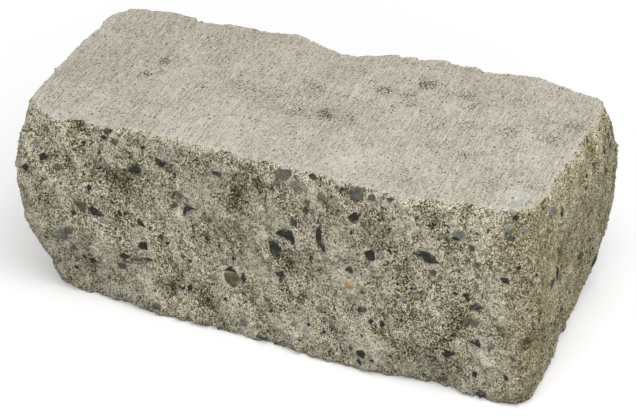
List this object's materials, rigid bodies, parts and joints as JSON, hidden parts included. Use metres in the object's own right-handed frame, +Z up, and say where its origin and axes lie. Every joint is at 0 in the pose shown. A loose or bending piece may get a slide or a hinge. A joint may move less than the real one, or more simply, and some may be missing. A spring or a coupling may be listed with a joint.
{
  "type": "garden wall block",
  "caption": "Split-faced concrete block for dry-laid garden walls, with flat moulded bed faces, rough broken sides that show dark aggregate, and worn edges.",
  "frame": {"origin": "on the floor under the middle of the block: the centre of the bottom of its bounding box", "axes": "+X along the block, towards the right end as seen from the front; +Y across it, towards the back face; +Z up, from the lower bed face to the upper one"},
  "size_m": [0.29, 0.145, 0.11],
  "materials": {
    "split_concrete": "rough broken concrete, beige-olive sand and cement with dark angular stone"
  },
  "bodies": {
    "root": {"wall_block": "split_concrete"}
  },
  "joints": []
}
